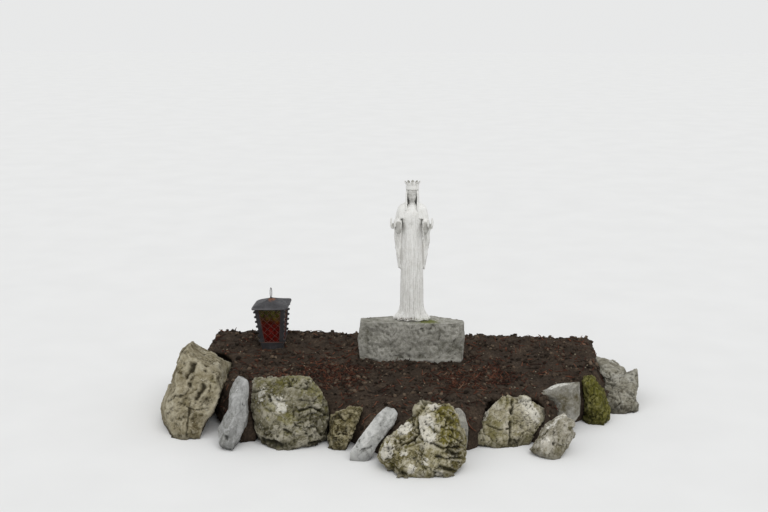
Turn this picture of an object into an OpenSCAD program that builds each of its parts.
// Wayside shrine: a cast figure on a hewn block, set in a raised bed that is edged with rough stones,
// with a small candle lantern beside it. Millimetres, +Z up, the front faces -Y.
// The origin is on the ground under the figure's axis. The bed's back stands against a wall.

/* [Bed] */
// Distance from the figure's axis to the wall
wall_y = 240; // [200:5:400]
// Height of the soil at the wall
soil_back = 215; // [190:5:240]
// Height of the soil in front of the plinth
soil_plinth = 178; // [165:1:200]
// Height of the soil behind the front stones
soil_front = 138; // [120:2:160]
// Height of the soil's edge between the stones
soil_edge = 70; // [40:5:120]
// Width of the bank that falls to that edge
soil_bank = 130; // [80:5:180]
// How far the soil's surface rises and falls
soil_lumps = 7; // [0:1:12]

/* [Plinth] */
// Width, depth and height of the hewn block
plinth_size = [456, 112, 209]; // [90:2:520]
// Height of the block's top above the ground
plinth_top = 349; // [330:1:380]
// Margin of the block's top in front of the figure's foot
plinth_margin = 12; // [4:1:24]
// How rough the block's faces are
plinth_rough = 4; // [0:1:8]

/* [Border stones, left to right] */
// Left end slab: width, depth and height
left_slab_size = [280, 540, 370]; // [40:5:600]
// Left end slab: middle of its foot
left_slab_at = [-840, -585]; // [-1000:5:1000]
// Grey upright slab: width, depth and height
grey_upright_size = [115, 110, 270]; // [40:5:600]
// Grey upright slab: middle of its foot
grey_upright_at = [-675, -690]; // [-1000:5:1000]
// Big boulder: width, depth and height
big_boulder_size = [310, 210, 245]; // [40:5:600]
// Big boulder: middle of its foot
big_boulder_at = [-440, -665]; // [-1000:5:1000]
// Knobbed stone: width, depth and height
knob_stone_size = [130, 150, 140]; // [40:5:600]
// Knobbed stone: middle of its foot
knob_stone_at = [-230, -650]; // [-1000:5:1000]
// Grey slab that leans sideways: width, depth and height
grey_leaner_size = [230, 70, 190]; // [40:5:600]
// Grey slab that leans sideways: middle of its foot
grey_leaner_at = [-85, -740]; // [-1000:5:1000]
// Front boulder: width, depth and height
front_boulder_size = [345, 170, 225]; // [40:5:600]
// Front boulder: middle of its foot
front_boulder_at = [75, -890]; // [-1000:5:1000]
// Small grey slab behind the front boulder: width, depth and height
grey_behind_size = [80, 45, 180]; // [40:5:600]
// Small grey slab behind the front boulder: middle of its foot
grey_behind_at = [215, -640]; // [-1000:5:1000]
// Cracked boulder: width, depth and height
cracked_boulder_size = [315, 170, 175]; // [40:5:600]
// Cracked boulder: middle of its foot
cracked_boulder_at = [420, -575]; // [-1000:5:1000]
// Round boulder: width, depth and height
round_boulder_size = [180, 120, 140]; // [40:5:600]
// Round boulder: middle of its foot
round_boulder_at = [600, -670]; // [-1000:5:1000]
// Grey pointed stone: width, depth and height
grey_point_size = [165, 130, 195]; // [40:5:600]
// Grey pointed stone: middle of its foot
grey_point_at = [625, -435]; // [-1000:5:1000]
// Mossy stone: width, depth and height
mossy_stone_size = [105, 170, 175]; // [40:5:600]
// Mossy stone: middle of its foot
mossy_stone_at = [785, -310]; // [-1000:5:1000]
// Right end slab: width, depth and height
right_slab_size = [180, 230, 155]; // [40:5:600]
// Right end slab: middle of its foot
right_slab_at = [895, -180]; // [-1000:5:1000]

/* [Figure] */
// Height from the foot to the tips of the crown
figure_h = 604; // [540:2:680]
// Width across the gown's foot
gown_foot_w = 158; // [140:2:180]
// Depth of the gown's foot
gown_foot_d = 80; // [76:2:110]
// Width of the gown above its foot
gown_w = 98; // [88:2:110]
// Depth of the gown above its foot
gown_d = 70; // [62:2:80]
// Number of pleats round the gown
pleats = 22; // [12:1:26]
// Depth of a pleat
pleat_depth = 2.6; // [1:0.2:4]
// Width across the shoulders
shoulder_w = 132; // [124:2:146]
// Width across the mantle behind the hands
mantle_w = 152; // [146:2:168]
// Thickness of the mantle
mantle_t = 6; // [4:0.5:8]
// Width across both hands
hands_w = 186; // [176:2:200]
// Diameter of a finger
finger_d = 6; // [5:0.5:7]
// Width of the head
head_w = 42; // [38:1:46]
// Width of the veil at the temples
veil_w = 60; // [56:1:66]
// Width across the crown's band
crown_band_w = 56; // [52:1:60]
// Height of the crown's band
crown_band_h = 22; // [16:1:26]
// Width across the crown's tips
crown_w = 74; // [64:2:84]
// Height of the crown's leaves
crown_leaf_h = 21; // [14:1:26]
// Number of the crown's leaves
crown_points = 10; // [8:1:12]
// Diameter of a bead
bead_d = 6; // [5:0.5:7]
// Number of beads
bead_count = 13; // [8:1:15]

/* [Lantern] */
// Place of the lantern's middle
lantern_at = [-615, 80]; // [-700:5:300]
// Turn of the lantern about its upright
lantern_turn = 0; // [-20:1:20]
// Lean of the lantern to the left, where the soil gave way
lantern_lean = 2; // [0:0.5:5]
// Width of the body at its foot
lantern_foot_w = 99; // [86:1:110]
// Width of the body under the roof
lantern_top_w = 132; // [120:1:150]
// Height of the sheet base below the panes
lantern_base_h = 30; // [20:1:40]
// Height of the panes, along the upright
lantern_pane_h = 156; // [110:1:180]
// Width of the angle at each corner
corner_w = 16; // [10:1:20]
// Height of a tooth on the corner angles
tooth_h = 11; // [8:1:14]
// Thickness of the sheet metal
sheet_t = 2; // [1.5:0.5:3]
// Thickness of a pane
pane_t = 3; // [2:0.5:4]
// Width of the roof across its eaves
roof_w = 160; // [150:1:180]
// Height of the roof from eaves to peak
roof_h = 26; // [18:1:36]
// Pitch of the lattice bars
lattice_pitch = 22; // [16:1:30]
// Width of a lattice bar
lattice_bar = 1.6; // [1.2:0.2:2.4]
// Diameter of the candle
candle_d = 62; // [50:1:66]
// Height of the candle
candle_h = 92; // [70:1:110]
// Outer diameter of the hanging loop
loop_d = 46; // [30:1:50]
// Diameter of the loop's wire
loop_wire = 3; // [2:0.5:4]

/* [Hidden] */

LIMESTONE = "#8d8672";
GREY_STONE = "#8f9296";
HEWN_STONE = "#7c7b76";
CAST_STONE = "#d8d5cd";
SOIL = "#2f241d";
SHEET_METAL = "#3c3b3d";
YELLOW_GLASS = "#77702a";
CANDLE_RED = "#8c1c18";

// Smooth noise from -1 to 1 over a point, the same on every build
function waves(p, seed) = (sin(p.x * 2.1 + p.z * 1.3 + seed * 53)
    + sin(p.y * 2.7 - p.x * 0.9 + seed * 97) + sin(p.z * 3.1 + p.y * 1.7 + seed * 31)) / 3;

// Triangles between rings of n points each, and over the two ends where they are flat
function band(n, rings) = [for (k = [0:rings - 2], i = [0:n - 1]) each let (
    a = k * n + i, b = k * n + (i + 1) % n) [[a, a + n, b], [b, a + n, b + n]]];
function loft_faces(n, rings) = concat(band(n, rings),
    [[for (i = [0:n - 1]) i]], [[for (i = [n - 1:-1:0]) (rings - 1) * n + i]]);

// A closed form through level rings, lowest first, each counter-clockwise from above
module loft(rings) {
    n = len(rings[0]);
    polyhedron([for (r = rings) each r], loft_faces(n, len(rings)));
}

// An ellipse at height z, with pleats of depth p
function oval(z, a, b, cx = 0, cy = 0, p = 0, n = 24) = [for (i = [0:n - 1]) let (t = 360 * i / n)
    [cx + (a + p * cos(pleats * t)) * cos(t), cy + (b + p * cos(pleats * t)) * sin(t), z]];

// A point at share t of the way along an open outline
function lengths(o) = [for (i = 0, s = 0; i < len(o); s = s + (i < len(o) - 1 ? norm(o[i + 1] - o[i]) : 0),
    i = i + 1) s];
function along(o, t) = let (s = lengths(o), d = t * s[len(s) - 1])
    [for (axis = [0, 1]) lookup(d, [for (i = [0:len(o) - 1]) [s[i], o[i][axis]]])];

// A rough stone on the ground. The outline is its front, in percent of width and height, from the left
// foot over the top to the right foot. Each ring is drawn in towards the middle of the foot.
STONE_SIDES = 22;
STONE_DEPTHS = [0, 0.12, 0.36, 0.64, 0.88, 1];
function stone_point(o, size, i, k, lean, round_off, back, rough, seed) = let (
    e = STONE_DEPTHS[k],
    q = along(o, i / (STONE_SIDES - 1)),
    inset = 1 - round_off * pow(abs(2 * e - 1), 3),
    low = 1 - back * e,
    x = (q.x - 50) / 100 * size.x * inset,
    z = q.y / 100 * size.z * inset * low,
    bump = waves([x, e * size.y, z], seed) * rough)
    [x + sign(x) * bump, e * size.y + z * tan(lean) + bump, z <= 0 ? 0 : max(1, z + bump)];
function mean(ring) = [for (p = ring) 1 / len(ring)] * ring;
module stone_solid(rings) {
    n = len(rings[0]);
    last = len(rings) - 1;
    near = n * len(rings);
    polyhedron(concat([for (r = rings) each r], [mean(rings[0]), mean(rings[last])]),
        concat(band(n, last + 1), [for (i = [0:n - 1]) [near, i, (i + 1) % n]],
            [for (i = [0:n - 1]) [near + 1, last * n + (i + 1) % n, last * n + i]]));
}
module stone(outline, size, at, turn = 0, lean = 0, round_off = 0.25, back = 0, rough = 8, seed = 1)
    translate([at.x, at.y, 0]) rotate(turn) stone_solid([for (k = [0:len(STONE_DEPTHS) - 1])
        [for (i = [0:STONE_SIDES - 1])
            stone_point(outline, size, i, k, lean, round_off, back, rough, seed)]]);

module left_slab_form() stone([[3, 0], [0, 38], [14, 62], [26, 90], [38, 100], [68, 86], [100, 72], [92, 50],
    [72, 22], [62, 0]], left_slab_size, left_slab_at, turn = 6, lean = 24, round_off = 0.16, back = 0.4,
    rough = 9, seed = 1);
module grey_upright_form() stone([[12, 0], [0, 26], [18, 44], [24, 62], [28, 92], [44, 100], [96, 98],
    [100, 62], [98, 32], [64, 0]], grey_upright_size, grey_upright_at, turn = -6, lean = 10, round_off = 0.2,
    rough = 4, seed = 2);
module big_boulder_form() stone([[4, 0], [0, 30], [0, 82], [10, 97], [28, 100], [66, 98], [82, 88], [98, 62],
    [100, 30], [94, 0]], big_boulder_size, big_boulder_at, turn = 2, lean = 12, round_off = 0.3, rough = 10,
    seed = 3);
module knob_stone_form() stone([[0, 0], [2, 60], [14, 86], [46, 90], [66, 100], [100, 96], [98, 78], [78, 62],
    [74, 30], [62, 0]], knob_stone_size, knob_stone_at, lean = 8, round_off = 0.3, rough = 7,
    seed = 4);
module grey_leaner_form() stone([[0, 0], [0, 12], [20, 42], [48, 78], [76, 100], [92, 96], [100, 80],
    [88, 56], [58, 26], [22, 0]], grey_leaner_size, grey_leaner_at, turn = 30, lean = 14, round_off = 0.22, rough = 3,
    seed = 5);
module front_boulder_form() stone([[12, 0], [0, 26], [6, 44], [14, 62], [40, 88], [52, 98], [86, 100],
    [93, 76], [100, 56], [98, 24], [88, 0]], front_boulder_size, front_boulder_at, turn = 3, lean = 14,
    round_off = 0.3, rough = 11, seed = 6);
module grey_behind_form() stone([[20, 0], [12, 50], [20, 96], [44, 100], [84, 88], [90, 40], [80, 0]],
    grey_behind_size, grey_behind_at, lean = 4, round_off = 0.2, rough = 2, seed = 7);
module cracked_boulder_form() stone([[4, 0], [0, 34], [28, 72], [52, 100], [74, 96], [100, 72], [98, 46],
    [84, 20], [74, 0]], cracked_boulder_size, cracked_boulder_at, turn = 12, lean = 14, round_off = 0.3,
    rough = 9, seed = 8);
module round_boulder_form() stone([[14, 0], [0, 22], [26, 76], [68, 100], [94, 82], [100, 48], [80, 20],
    [52, 0]], round_boulder_size, round_boulder_at, turn = 24, lean = 10, round_off = 0.3, rough = 8, seed = 9);
module grey_point_form() stone([[14, 0], [4, 50], [0, 66], [38, 92], [96, 100], [100, 60], [94, 20], [86, 0]],
    grey_point_size, grey_point_at, turn = 10, lean = 8, round_off = 0.2, rough = 4, seed = 10);
module mossy_stone_form() stone([[6, 0], [0, 40], [4, 96], [34, 100], [72, 72], [100, 36], [92, 0]],
    mossy_stone_size, mossy_stone_at, turn = 8, lean = 8, round_off = 0.28, rough = 7, seed = 11);
module right_slab_form() stone([[8, 0], [0, 50], [6, 92], [40, 100], [82, 92], [100, 60], [96, 24], [92, 0]],
    right_slab_size, right_slab_at, turn = 4, lean = 48, round_off = 0.2, rough = 9, seed = 12);

module left_slab() { color(LIMESTONE) left_slab_form(); }
module grey_upright() { color(GREY_STONE) grey_upright_form(); }
module big_boulder() { color(LIMESTONE) big_boulder_form(); }
module knob_stone() { color(LIMESTONE) knob_stone_form(); }
module grey_leaner() { color(GREY_STONE) grey_leaner_form(); }
module front_boulder() { color(LIMESTONE) front_boulder_form(); }
module grey_behind() { color(GREY_STONE) grey_behind_form(); }
module cracked_boulder() { color(LIMESTONE) cracked_boulder_form(); }
module round_boulder() { color(LIMESTONE) round_boulder_form(); }
module grey_point() { color(GREY_STONE) grey_point_form(); }
module mossy_stone() { color(LIMESTONE) mossy_stone_form(); }
module right_slab() { color(LIMESTONE) right_slab_form(); }

// The hewn block: a stone with square corners, a level top and its back left rough and rounded
PLINTH_FRONT = [[1, 0], [0, 50], [1, 100], [99, 100], [100, 40], [97, 0]];
plinth_y = -gown_foot_d / 2 - plinth_margin;
plinth_seed = 21;
plinth_back = 0.45;
function plinth_point(i, k) = let (
    p = stone_point(PLINTH_FRONT, plinth_size, i, k, 0, 0.02, 0, plinth_rough, plinth_seed))
    [p.x, p.y * (1 - plinth_back * pow(2 * p.x / plinth_size.x, 2)), min(p.z, plinth_size.z)];
module plinth_form() translate([0, plinth_y, plinth_top - plinth_size.z])
    stone_solid([for (k = [0:len(STONE_DEPTHS) - 1]) [for (i = [0:STONE_SIDES - 1]) plinth_point(i, k)]]);
module plinth_block() { color(HEWN_STONE) plinth_form(); }

// The soil: a mound behind the stones, with its front line through the backs of their feet
bed_set = 0.7;
function middle(at, size) = [at.x, at.y + size.y * bed_set];
BED_LINE = [middle(left_slab_at, left_slab_size), middle(grey_upright_at, grey_upright_size),
    middle(big_boulder_at, big_boulder_size), middle(knob_stone_at, knob_stone_size),
    middle(grey_leaner_at, grey_leaner_size), middle(front_boulder_at, front_boulder_size),
    middle(cracked_boulder_at, cracked_boulder_size), middle(round_boulder_at, round_boulder_size),
    middle(grey_point_at, grey_point_size), middle(mossy_stone_at, mossy_stone_size),
    middle(right_slab_at, right_slab_size)];
bed_left = left_slab_at.x - left_slab_size.x * 0.4;
bed_right = right_slab_at.x - right_slab_size.x * 0.3;
SOIL_COLUMNS = 32;
SOIL_ROWS = 10;
function bed_front(x) = lookup(x, BED_LINE);
function soil_top(x, y) = let (
    front = bed_front(x),
    level = lookup(y, [[front, soil_front], [plinth_y, soil_plinth], [wall_y, soil_back]]),
    side = min(x - bed_left, bed_right - x),
    rise = min(1, (y - front) / soil_bank, side / soil_bank * 2))
    soil_edge + (level - soil_edge) * sin(90 * rise) + soil_lumps * waves([x, y, 0], 31) * rise;
module soil_form() {
    n = SOIL_COLUMNS;
    m = SOIL_ROWS;
    top = [for (i = [0:n], j = [0:m]) let (
        x = bed_left + (bed_right - bed_left) * i / n,
        y = bed_front(x) + (wall_y - bed_front(x)) * pow(j / m, 1.3)) [x, y, soil_top(x, y)]];
    foot = [for (i = [0:n], j = [0, m]) [top[i * (m + 1) + j].x, top[i * (m + 1) + j].y, 0]];
    base = len(top);
    polyhedron(concat(top, foot), concat(
        [for (i = [0:n - 1], j = [0:m - 1]) each let (a = i * (m + 1) + j, b = a + m + 1)
            [[a, a + 1, b], [b, a + 1, b + 1]]],
        [for (i = [0:n - 1]) each let (a = i * (m + 1), b = a + m + 1, c = base + 2 * i, d = c + 2)
            [[a, b, c], [c, b, d]]],
        [for (i = [0:n - 1]) each let (a = i * (m + 1) + m, b = a + m + 1, c = base + 2 * i + 1, d = c + 2)
            [[a, c, b], [b, c, d]]],
        [for (i = [0:n - 1]) each let (c = base + 2 * i) [[c, c + 2, c + 1], [c + 1, c + 2, c + 3]]],
        [[for (j = [0:m]) m - j, base, base + 1]],
        [[for (j = [0:m]) n * (m + 1) + j, base + 2 * n + 1, base + 2 * n]]));
}
module soil_bed() {
    color(SOIL) difference() {
        soil_form();
        hull() left_slab_form();
        hull() grey_upright_form();
        hull() big_boulder_form();
        hull() knob_stone_form();
        hull() grey_leaner_form();
        hull() front_boulder_form();
        hull() grey_behind_form();
        hull() cracked_boulder_form();
        hull() round_boulder_form();
        hull() grey_point_form();
        hull() mossy_stone_form();
        hull() right_slab_form();
        hull() plinth_form();
        lantern_base_form();
    }
}

// Figure: one casting, drawn with its foot at z = 0. Heights in its tables are shares of figure_h.
function between(a, b, t) = a + (b - a) * t;

// Gown: height, how far it spreads from its own width (0) to that of the foot (1), share of the pleat depth
GOWN = [[0, 1, 0.6], [0.014, 1, 1], [0.03, 0.74, 1.2], [0.048, 0.4, 1.2], [0.072, 0.16, 1], [0.11, 0.04, 1],
    [0.24, 0, 1], [0.4, -0.04, 1], [0.54, -0.12, 0.8], [0.62, -0.16, 0.4], [0.7, -0.12, 0], [0.77, -0.16, 0],
    [0.81, -0.4, 0], [0.835, -0.7, 0]];
module gown() loft([for (g = GOWN) oval(g[0] * figure_h, between(gown_w, gown_foot_w, g[1]) / 2,
    between(gown_d, gown_foot_d, g[1]) / 2, p = g[2] * pleat_depth, n = 3 * pleats)]);

// Mantle: a cape open to the front, over a long back that hangs behind the arms. Height, width as a share of
// the way from the shoulders to behind the hands, depth over width, and reach round to the front in degrees
MANTLE = [[0.365, 0.1, 0.56, 4], [0.5, 0.6, 0.56, 6], [0.63, 1, 0.56, 6], [0.706, 0.5, 0.58, 8],
    [0.712, 0.4, 0.6, 62], [0.755, -0.1, 0.62, 64], [0.784, -0.55, 0.62, 66], [0.808, -1.15, 0.62, 68],
    [0.826, -2.2, 0.64, 72], [0.842, -3.8, 0.7, 78]];
MANTLE_STEPS = 28;
mantle_fold = 2;
cape_z = 0.712;
function mantle_arc(m, inner) = [for (i = [0:MANTLE_STEPS]) let (
    w = between(shoulder_w, mantle_w, m[1]) / 2,
    t = -m[3] + (180 + 2 * m[3]) * i / MANTLE_STEPS,
    f = (m[0] < cape_z ? mantle_fold * cos(t * 12) : 0) - (inner ? mantle_t : 0))
    [(w + f) * cos(t), (w * m[2] + f) * sin(t), m[0] * figure_h]];
function turned(a) = [for (i = [len(a) - 1:-1:0]) a[i]];
module mantle() loft([for (m = MANTLE) concat(mantle_arc(m, false), turned(mantle_arc(m, true)))]);

// Folds of the mantle's front edges, side by side between the gown and its outer edge. Each falls less far.
fold_count = 4;
fold_d = 3 * mantle_t;
fold_lift = 0.035;
module folds() for (k = [0:fold_count - 1]) let (
    t = k / (fold_count - 1),
    inner = gown_w / 2 - fold_d / 4,
    low = between(inner, mantle_w / 2 - fold_d * 0.8, t),
    high = between(inner, mantle_w / 2 - fold_d / 2, t))
    limb([low, 0, (MANTLE[0][0] + fold_lift * (1 - t)) * figure_h], [high, 0, 0.66 * figure_h],
        0.7 * fold_d, fold_d);

// Arms: a bell sleeve with a hollow mouth hangs in front of each side, and the hand rises beside it
hand_x = hands_w / 2 - finger_d;
hand_y = -0.72 * gown_d;
hand_z = 0.662 * figure_h;
hand_h = 0.076 * figure_h;
sleeve_at = [0.67 * hand_x, -0.6 * gown_d, 0.652 * figure_h];
sleeve_mouth = [0.17 * hands_w, mantle_t, 0.1 * figure_h];
elbow = [0.42 * shoulder_w, 0, 0.73 * figure_h];
module ball(at, d, sides = 8) translate(at) sphere(d = d, $fn = sides);
module limb(a, b, d, e) hull() {
    ball(a, d);
    ball(b, e);
}
module sleeve_lip(share) translate(sleeve_at) resize(sleeve_mouth * share) sphere(d = 20, $fn = 16);
module sleeve() difference() {
    hull() {
        ball(elbow, 0.2 * shoulder_w);
        sleeve_lip(1);
    }
    translate([0, -mantle_t, 0]) sleeve_lip([0.78, 2, 0.86]);
}
module hand() {
    palm = [hand_x - finger_d, hand_y, hand_z];
    limb(sleeve_at + [0, mantle_t, mantle_t], palm, 3 * finger_d, 2 * finger_d);
    limb(palm, palm + [-finger_d, -finger_d, 0.75 * hand_h], 1.5 * finger_d, 0.8 * finger_d);
    for (k = [0:3]) let (
        knuckle = palm + [1.5 * finger_d, (1.5 - k) * finger_d * 0.85, 0.3 * hand_h],
        tip = knuckle + [-finger_d / 2, 0, hand_h * (0.7 - 0.08 * abs(k - 1.5))]) {
        limb(palm, knuckle, 1.6 * finger_d, finger_d);
        limb(knuckle, tip, finger_d, 0.7 * finger_d);
    }
}

// Head: plain features on even proportions, a veil round it and a crown on the veil
band_z = figure_h - crown_leaf_h - crown_band_h;
chin_z = 0.842 * figure_h;
neck_z = 0.8 * figure_h;
head_h = band_z + crown_band_h / 2 - chin_z;
face_y = -0.52 * head_w;
module head() {
    hull() {
        translate([0, 0, chin_z + 0.6 * head_h]) resize([head_w, 1.16 * head_w, 0.86 * head_h])
            sphere(10, $fn = 20);
        translate([0, face_y * 0.62, chin_z + 0.1 * head_h])
            resize([0.44 * head_w, 0.5 * head_w, 0.2 * head_h]) sphere(10, $fn = 12);
    }
    limb([0, face_y, chin_z + 0.52 * head_h], [0, face_y * 1.16, chin_z + 0.34 * head_h],
        0.1 * head_w, 0.17 * head_w);
    translate([0, 0, neck_z]) cylinder(h = chin_z - neck_z + 0.3 * head_h, d = 0.62 * head_w, $fn = 20);
}

// Veil: a shell that falls from the crown to the shoulders. Height, width and reach to the front
VEIL = [[0.8, 1.3, 30], [0.825, 1.12, 38], [0.85, 1.04, 42], [0.9, 1, 46], [0.935, 0.97, 50], [0.95, 0.94, 60]];
VEIL_STEPS = 20;
veil_t = 0.13 * veil_w;
function veil_arc(v, inner) = [for (i = [0:VEIL_STEPS]) let (
    r = v[1] * veil_w / 2 - (inner ? veil_t : 0),
    t = -v[2] + (180 + 2 * v[2]) * i / VEIL_STEPS)
    [r * cos(t), 1.1 * r * sin(t), v[0] * figure_h]];
module veil() loft([for (v = VEIL) concat(veil_arc(v, false), turned(veil_arc(v, true)))]);

leaf_t = 0.1 * crown_band_w;
module crown() {
    translate([0, 0, band_z]) cylinder(h = crown_band_h, d = crown_band_w, $fn = 40);
    for (k = [0:crown_points - 1]) rotate(90 + k * 360 / crown_points) hull() {
        translate([crown_band_w / 2 - leaf_t, -crown_band_w / 8, band_z + crown_band_h - leaf_t / 2])
            cube([leaf_t, crown_band_w / 4, leaf_t / 2]);
        translate([between(crown_band_w, crown_w, 0.5) / 2 - leaf_t, -crown_w / 9, band_z + crown_band_h
            + crown_leaf_h / 2]) cube([leaf_t, crown_w / 4.5, leaf_t / 2]);
        translate([crown_w / 2 - leaf_t / 2, 0, figure_h - leaf_t / 2]) sphere(d = leaf_t, $fn = 8);
    }
}

// Beads in a string that falls over one sleeve
bead_at = [sleeve_at.x - 0.3 * sleeve_mouth.x, sleeve_at.y - mantle_t / 2 - bead_d / 4,
    sleeve_at.z + 0.6 * sleeve_mouth.z];
bead_pitch = 0.84 * bead_d;
module beads() for (k = [0:bead_count - 1])
    ball(bead_at + [sin(k * 50) * bead_d / 3, 0, -k * bead_pitch], bead_d, 6);

module figure_form() {
    gown();
    mantle();
    head();
    veil();
    crown();
    beads();
    for (side = [0, 1]) mirror([side, 0, 0]) {
        sleeve();
        hand();
        folds();
    }
}
module figure() { color(CAST_STONE) translate([0, 0, plinth_top]) figure_form(); }

// Lantern: a square body that widens upward, with angles at its corners, a pane and a lattice on each side
lean_in = (lantern_top_w - lantern_foot_w) / 2;
pane_rise = sqrt(pow(lantern_pane_h, 2) - pow(lean_in, 2));
pane_tilt = asin(lean_in / lantern_pane_h);
lantern_sunk = 6;
lantern_z = soil_top(lantern_at.x, lantern_at.y) - lantern_sunk;
lantern_base_w = lantern_foot_w - 8;
head_t = 6;
pane_set = 4;
pane_gap = 1;
lattice_edge = 3;
module lantern_place() translate([lantern_at.x, lantern_at.y, lantern_z])
    rotate([0, -lantern_lean, lantern_turn]) children();

// A side of the body, flat, with its foot on the x axis: side k counts from the front towards the right
module on_side(k) lantern_place() rotate(90 * k) translate([0, -lantern_foot_w / 2, lantern_base_h])
    rotate([90 + pane_tilt, 0, 0]) children();
module side_shape(edge, foot = 0, top = 0) polygon([[-lantern_foot_w / 2 + edge, foot],
    [lantern_foot_w / 2 - edge, foot], [lantern_top_w / 2 - edge, lantern_pane_h - top],
    [-lantern_top_w / 2 + edge, lantern_pane_h - top]]);

module lantern_base_form() lantern_place() linear_extrude(lantern_base_h,
    scale = lantern_foot_w / lantern_base_w) square(lantern_base_w, center = true);
module lantern_base() color(SHEET_METAL) lantern_base_form();
module corner_angle() hull() {
    translate([-lantern_foot_w / 2, -lantern_foot_w / 2, lantern_base_h]) cube([corner_w, corner_w, 0.1]);
    translate([-lantern_top_w / 2, -lantern_top_w / 2, lantern_base_h + pane_rise - 0.1])
        cube([corner_w, corner_w, 0.1]);
}
// Teeth: blunt sheet lugs in a row up each corner, one to each row of the lattice
tooth_out = 0.75 * tooth_h;
module tooth() translate([0, sheet_t / 2, 0]) rotate([90, 0, 0]) linear_extrude(sheet_t)
    polygon([[sheet_t, -tooth_h / 2], [-tooth_out / 2, -tooth_h / 2], [-tooth_out, -tooth_h / 4],
        [-tooth_out, tooth_h / 4], [-tooth_out / 2, tooth_h / 2], [sheet_t, tooth_h / 2]]);
module corner_teeth() {
    count = floor(lantern_pane_h / lattice_pitch);
    for (i = [1:count]) let (t = (i - 0.5) / count, w = between(lantern_foot_w, lantern_top_w, t) / 2)
        translate([-w, -w, lantern_base_h + pane_rise * t]) rotate(45) tooth();
}
module ring(outer, inner, t) linear_extrude(t) difference() {
    square(outer, center = true);
    square(inner, center = true);
}
module lantern_frame() color(SHEET_METAL) lantern_place() {
    for (k = [0:3]) rotate(90 * k) {
        corner_angle();
        corner_teeth();
    }
    translate([0, 0, lantern_base_h + pane_rise]) ring(lantern_top_w, lantern_top_w - 2 * corner_w, head_t);
}
module pane(k) color(YELLOW_GLASS) on_side(k) translate([0, 0, -pane_set - pane_t]) linear_extrude(pane_t)
    side_shape(corner_w, top = pane_gap);
module lattice(k) {
    reach = lantern_top_w + lantern_pane_h;
    count = ceil(reach / lattice_pitch);
    color(SHEET_METAL) on_side(k) translate([0, 0, -pane_set]) linear_extrude(lattice_bar) {
        intersection() {
            side_shape(corner_w, top = pane_gap);
            union() for (a = [-45, 45], i = [-count:count]) translate([0, lantern_pane_h / 2])
                rotate(a) translate([i * lattice_pitch, 0]) square([lattice_bar, 2 * reach], center = true);
        }
        difference() {
            side_shape(corner_w, top = pane_gap);
            side_shape(corner_w + lattice_edge, lattice_edge, pane_gap + lattice_edge);
        }
    }
}
module lantern_front_pane() pane(0);
module lantern_right_pane() pane(1);
module lantern_back_pane() pane(2);
module lantern_left_pane() pane(3);
module lantern_front_lattice() lattice(0);
module lantern_right_lattice() lattice(1);
module lantern_back_lattice() lattice(2);
module lantern_left_lattice() lattice(3);
roof_z = lantern_base_h + pane_rise + head_t;
roof_rim = 5;
roof_cap = 0.12;
module roof_form() linear_extrude(roof_h, scale = roof_cap) square(roof_w, center = true);
module lantern_roof() color(SHEET_METAL) lantern_place() translate([0, 0, roof_z]) {
    ring(roof_w, lantern_top_w - 2 * corner_w, sheet_t);
    translate([0, 0, -roof_rim]) ring(roof_w, roof_w - 2 * sheet_t, roof_rim + sheet_t);
    difference() {
        roof_form();
        translate([0, 0, -sheet_t]) roof_form();
    }
}
loop_boss = [4 * loop_wire, 2 * loop_wire];
module lantern_loop() color(SHEET_METAL) lantern_place() translate([0, 0, roof_z + roof_h]) {
    cylinder(h = loop_boss[1], d = loop_boss[0], $fn = 24);
    translate([0, 0, loop_boss[1] - loop_wire / 2 + loop_d / 2]) rotate([90, 0, 90]) rotate_extrude($fn = 32)
        translate([loop_d / 2 - loop_wire / 2, 0]) circle(d = loop_wire, $fn = 16);
}
module candle() color(CANDLE_RED) lantern_place() translate([0, 0, lantern_base_h]) rotate_extrude($fn = 40)
    polygon([[0, 0], [candle_d / 2 - 4, 0], [candle_d / 2 - 2, 4], [candle_d / 2, candle_h * 0.8],
        [candle_d / 2 - 4, candle_h * 0.84], [candle_d / 2 - 4, candle_h], [0, candle_h]]);

figure();
plinth_block();
soil_bed();
left_slab();
grey_upright();
big_boulder();
knob_stone();
grey_leaner();
front_boulder();
grey_behind();
cracked_boulder();
round_boulder();
grey_point();
mossy_stone();
right_slab();
lantern_base();
lantern_frame();
lantern_front_pane();
lantern_right_pane();
lantern_back_pane();
lantern_left_pane();
lantern_front_lattice();
lantern_right_lattice();
lantern_back_lattice();
lantern_left_lattice();
lantern_roof();
lantern_loop();
candle();
